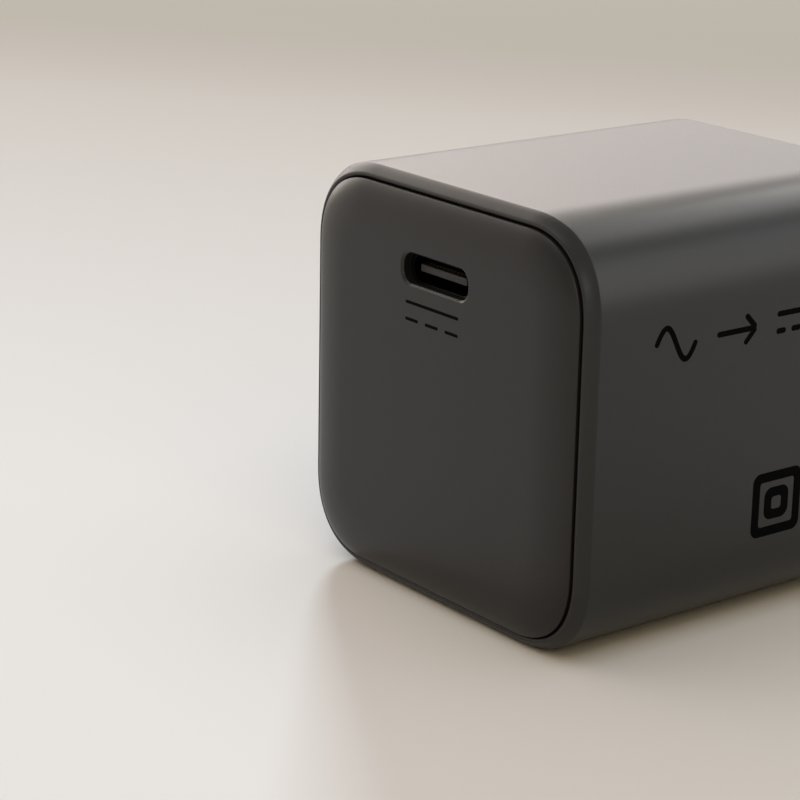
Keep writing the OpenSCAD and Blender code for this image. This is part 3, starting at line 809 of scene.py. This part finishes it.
inside = {
    "strip_metal": finish(
        "bare stamped brass", (0.55, 0.36, 0.12), (0.62, 0.42, 0.16), 0.32, 0.3, 0.06, 0.0008,
        metal=1.0, stretch=(1, 4, 1)),
    "board_laminate": finish(
        "green solder mask", (0.008, 0.045, 0.018), (0.012, 0.062, 0.026), 0.38, 0.5, 0.05,
        0.001),
    "core_ferrite": finish(
        "sintered ferrite", (0.020, 0.019, 0.021), (0.032, 0.030, 0.033), 0.6, 0.25, 0.08,
        0.006),
    "bobbin_plastic": finish(
        "black phenolic bobbin", (0.006, 0.006, 0.007), (0.009, 0.009, 0.010), 0.5, 0.3, 0.05,
        0.001),
    "winding_tape": finish(
        "yellow winding tape", (0.60, 0.36, 0.02), (0.68, 0.43, 0.035), 0.35, 0.8, 0.06, 0.004,
        stretch=(4, 1, 1)),
    "capacitor_sleeve": finish(
        "dark shrink sleeve", (0.010, 0.012, 0.015), (0.014, 0.016, 0.020), 0.28, 0.6, 0.05,
        0.001, stretch=(1, 1, 0.3)),
    "capacitor_can": finish(
        "drawn aluminium can", (0.60, 0.61, 0.62), (0.68, 0.69, 0.70), 0.3, 0.25, 0.05, 0.001,
        metal=1.0, stretch=(1, 1, 6)),
    "choke_ring": finish(
        "green coated ring", (0.012, 0.10, 0.055), (0.018, 0.13, 0.07), 0.4, 0.4, 0.06, 0.003),
    "choke_wire": finish(
        "enamelled copper wire", (0.45, 0.13, 0.03), (0.55, 0.18, 0.05), 0.28, 0.35, 0.06, 0.02,
        metal=1.0, stretch=(3, 3, 0.5)),
    "film_case": finish(
        "yellow moulded case", (0.52, 0.30, 0.015), (0.60, 0.36, 0.025), 0.35, 0.4, 0.05, 0.001),
    "disc_coat": finish(
        "blue dipped coating", (0.030, 0.13, 0.36), (0.045, 0.16, 0.42), 0.4, 0.6, 0.08, 0.006),
    "fuse_case": finish(
        "brown moulded case", (0.11, 0.045, 0.02), (0.14, 0.06, 0.028), 0.4, 0.4, 0.05, 0.001),
    "chip_plastic": finish(
        "black moulding compound", (0.005, 0.005, 0.005), (0.008, 0.008, 0.008), 0.55, 0.12,
        0.06, 0.003),
    "coupler_plastic": finish(
        "white moulding compound", (0.70, 0.67, 0.60), (0.76, 0.73, 0.66), 0.5, 0.15, 0.05,
        0.002),
    "pad_silicone": finish(
        "soft thermal pad", (0.24, 0.29, 0.32), (0.30, 0.35, 0.38), 0.75, 0.3, 0.06, 0.006),
    "spreader_metal": finish(
        "rolled aluminium sheet", (0.52, 0.54, 0.56), (0.60, 0.62, 0.64), 0.34, 0.3, 0.06,
        0.0012, metal=1.0, stretch=(0.4, 6, 6)),
    "sheet_film": finish(
        "amber insulating sheet", (0.58, 0.44, 0.16), (0.66, 0.51, 0.20), 0.3, 1.2, 0.04, 0.001),
    "contact_gold": shadedGoldFinish,
}
nodeSlot = {
    "mains_strip_left": "strip_metal", "mains_strip_right": "strip_metal",
    "main_board": "board_laminate", "port_board": "board_laminate", "side_board": "board_laminate",
    "receptacle_contacts": "contact_gold",
    "transformer_core_left": "core_ferrite", "transformer_core_right": "core_ferrite",
    "transformer_bobbin": "bobbin_plastic", "transformer_winding": "winding_tape",
    "input_capacitor_left": "capacitor_sleeve", "input_capacitor_right": "capacitor_sleeve",
    "output_capacitor_front": "capacitor_can", "output_capacitor_back": "capacitor_can",
    "choke_core": "choke_ring", "choke_windings": "choke_wire",
    "film_capacitor": "film_case", "disc_capacitor": "disc_coat", "fuse": "fuse_case",
    "input_rectifier": "chip_plastic", "power_switch": "chip_plastic",
    "controller_chip": "chip_plastic", "output_switch": "chip_plastic",
    "protocol_chip": "chip_plastic", "coupler_chip": "coupler_plastic",
    "thermal_pad": "pad_silicone", "heat_spreader": "spreader_metal", "insulating_sheet": "sheet_film",
}
outside = {
    "housing_shell": housingFinish, "front_cover": coverFinish, "rear_cover": housingFinish,
    "mains_pin_left": pinFinish, "mains_pin_right": pinFinish,
    "pin_sleeve_left": sleeveFinish, "pin_sleeve_right": sleeveFinish,
    "receptacle_shell": portShellShadeFinish, "receptacle_tongue": tongueFinish,
}
for name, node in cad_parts.items():
    material = outside.get(name) or inside[nodeSlot[name]]
    if not node.material_slots:
        node.data.materials.append(material)
    for place in node.material_slots:
        place.material = material
print("finishes set on", len(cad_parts), "nodes")


# Floor, light and camera

studio = {
    "floorHalf": 3.0,
    "floorRough": 0.9,
    "toward": (-0.607, 0.795),  # direction away from the camera, along which the painted shade on the floor deepens
    "air": (0.060, 0.040, 0.020),  # light from all round on what is matt
    "airInGloss": (0.48, 0.47, 0.47),  # the dim room that gloss shows between the softboxes
}
floorShadeRamp = [  # distance away in metres, and the floor's colour there, with painted shade: darker and warmer away from the camera, where the light falls off
    (0.00, (0.800, 0.800, 0.790)),
    (0.04, (0.770, 0.766, 0.752)),
    (0.22, (0.599, 0.565, 0.521)),
    (0.26, (0.534, 0.491, 0.445)),
    (0.30, (0.486, 0.453, 0.396)),
    (0.33, (0.479, 0.447, 0.390)),
]


# Floor with painted shade: its colour darkens and warms with the distance u = x a + y b away from the
# camera, where the light falls off, as a ramp over u between the first and the last of the tones.
def floorFinish():
    material, nodes, links, shader = startFinish("pale floor with painted shade")
    where = nodes.new("ShaderNodeTexCoord")
    away = nodes.new("ShaderNodeVectorMath")
    away.operation = "DOT_PRODUCT"
    away.inputs[1].default_value = (*studio["toward"], 0)
    links.new(where.outputs["Object"], away.inputs[0])
    last = floorShadeRamp[-1][0]
    ramp = nodes.new("ShaderNodeValToRGB")
    stops = ramp.color_ramp.elements
    for distance, tone in floorShadeRamp[1:-1]:
        stops.new(distance / last)
    for stop, (distance, tone) in zip(stops, floorShadeRamp):
        stop.color = (*tone, 1)
    links.new(ranged(nodes, links, away.outputs["Value"], 0, 1, 0, last), ramp.inputs["Fac"])
    links.new(ramp.outputs["Color"], shader.inputs["Base Color"])
    shader.inputs["Roughness"].default_value = studio["floorRough"]
    shader.inputs["Specular IOR Level"].default_value = 0.0
    return material


half = studio["floorHalf"]
corners = [(-half, -half, 0), (half, -half, 0), (half, half, 0), (-half, half, 0)]
floorMesh = bpy.data.meshes.new("floor")
floorMesh.from_pydata(corners, [], [(0, 1, 2, 3)])
floorMesh.materials.append(floorFinish())
floor = bpy.data.objects.new("floor", floorMesh)
bpy.context.scene.collection.objects.link(floor)


# World whose tone is the air's, and the dim room's where a glossy surface shows it.
def addAir():
    world = bpy.data.worlds.new("studio")
    world.use_nodes = True
    nodes, links = world.node_tree.nodes, world.node_tree.links
    ray = nodes.new("ShaderNodeLightPath")
    tone = twoTones(nodes, links, ray.outputs["Is Glossy Ray"], studio["air"], studio["airInGloss"])
    links.new(tone, nodes["Background"].inputs["Color"])
    bpy.context.scene.world = world


addAir()

# Each lamp as heading, height, distance, width, tallness, radiance and colour. The heading is
# measured from +Y towards -X and the height above the floor, both in degrees, and the width and
# tallness are the angles that the lamp fills as seen from the body. The matt lamps light what is
# matt, and the softboxes are there for the gloss of the mouldings.
mattLamps = {
    "key": (56, 24, 2.5, 10, 10, 77, (0.818, 0.937, 1.02)),
    "overhead": (0, 90, 1.5, 80, 80, 0.97, (0.971, 0.979, 1.03)),
    "frontFill": (234, 35, 1.5, 60, 40, 1.32, (1.0, 0.81, 0.51)),
    "leftFill": (99, 30, 1.5, 55, 35, 0.67, (1.0, 0.61, 0.62)),
    "nearFill": (140, 40, 1.5, 55, 40, 0.44, (1.0, 0.91, 0.71)),
}
softboxes = {
    "backBox": (60, 16, 1, 58, 14, 3.14, (1.0, 0.91, 0.86)),
    "backUpperBox": (70, 31, 1, 34, 14, 4.73, (1.0, 0.86, 0.78)),
    "leftBox": (100, 11, 1, 20, 23, 5.1, (1.0, 0.93, 0.8)),
    "leftUpperBox": (100, 31, 1, 17, 14, 3.69, (1.0, 0.91, 0.8)),
    "edgeBox": (120, 19, 1, 19, 38, 0.48, (1.0, 0.82, 0.76)),
    "cornerBox": (20, 31, 1, 17, 14, 8.85, (1.0, 0.98, 0.94)),
    "upperBox": (0, 47, 1, 17, 16, 2.1, (1.0, 1.0, 1.0)),
    "upperBackBox": (50, 47, 1, 17, 16, 6.19, (1.0, 0.9, 0.79)),
    "rightBox": (-50, 19, 1, 38, 38, 1.77, (1.0, 1.0, 1.0)),
    "rightUpperBox": (-10, 31, 1, 34, 14, 1.45, (0.82, 0.95, 1.0)),
    "nearBox": (-140, 16, 1, 19, 14, 2.77, (1.0, 0.95, 1.0)),
    "frontBox": (150, 47, 1, 17, 16, 2.1, (1.0, 0.96, 0.94)),
    "lowBox": (80, 4, 1, 20, 9, 1.1, (1.0, 0.75, 0.9)),
}


# Area lamp that faces the middle of the body. Its sides are 2 away tan(angle / 2), and its
# power is radiance * pi * width * height.
def addLamp(name, values, gloss):
    heading, height, away, wide, tall, radiance, colour = values
    turn, rise = math.radians(heading), math.radians(height)
    out = Vector((-math.sin(turn) * math.cos(rise), math.cos(turn) * math.cos(rise), math.sin(rise)))
    light = bpy.data.lights.new(name, "AREA")
    light.shape = "RECTANGLE"
    light.size, light.size_y = (2 * away * math.tan(math.radians(angle) / 2) for angle in (wide, tall))
    light.energy = radiance * math.pi * light.size * light.size_y
    light.color = colour
    lamp = bpy.data.objects.new(name, light)
    lamp.location = Vector((0, 0, body["middle"] * mm)) + out * away
    lamp.rotation_euler = out.to_track_quat("Z", "Y").to_euler()
    lamp.visible_diffuse = not gloss
    lamp.visible_glossy = gloss
    bpy.context.scene.collection.objects.link(lamp)


for name, values in mattLamps.items():
    addLamp(name, values, False)
for name, values in softboxes.items():
    addLamp(name, values, True)

viewpoint = {
    "place": (172.35, -158.591, 88.429),
    "heading": 52.364,
    "down": 17.205,
    "roll": 1.131,
    "lens": 113.774,
    "sensor": 36,
    "clip": (0.01, 20),
}


# Camera turned to a heading and a tilt down, then rolled about its own axis.
def addCamera(v):
    heading, down, roll = (math.radians(v[key]) for key in ("heading", "down", "roll"))
    flat = math.cos(down)
    ahead = Vector((-math.sin(heading) * flat, math.cos(heading) * flat, -math.sin(down)))
    right = Vector((math.cos(heading), math.sin(heading), 0))
    up = right.cross(ahead)
    across = right * math.cos(roll) + up * math.sin(roll)
    above = up * math.cos(roll) - right * math.sin(roll)
    camera = bpy.data.cameras.new("camera")
    camera.lens = v["lens"]
    camera.sensor_width = v["sensor"]
    camera.clip_start, camera.clip_end = v["clip"]
    seer = bpy.data.objects.new("camera", camera)
    turn = Matrix((across, above, -ahead)).transposed().to_4x4()
    seer.matrix_world = Matrix.Translation(Vector(v["place"]) * mm) @ turn
    bpy.context.scene.collection.objects.link(seer)
    bpy.context.scene.camera = seer


addCamera(viewpoint)
bpy.context.scene.view_settings.view_transform = "Standard"
print("floor, lamps and camera set")
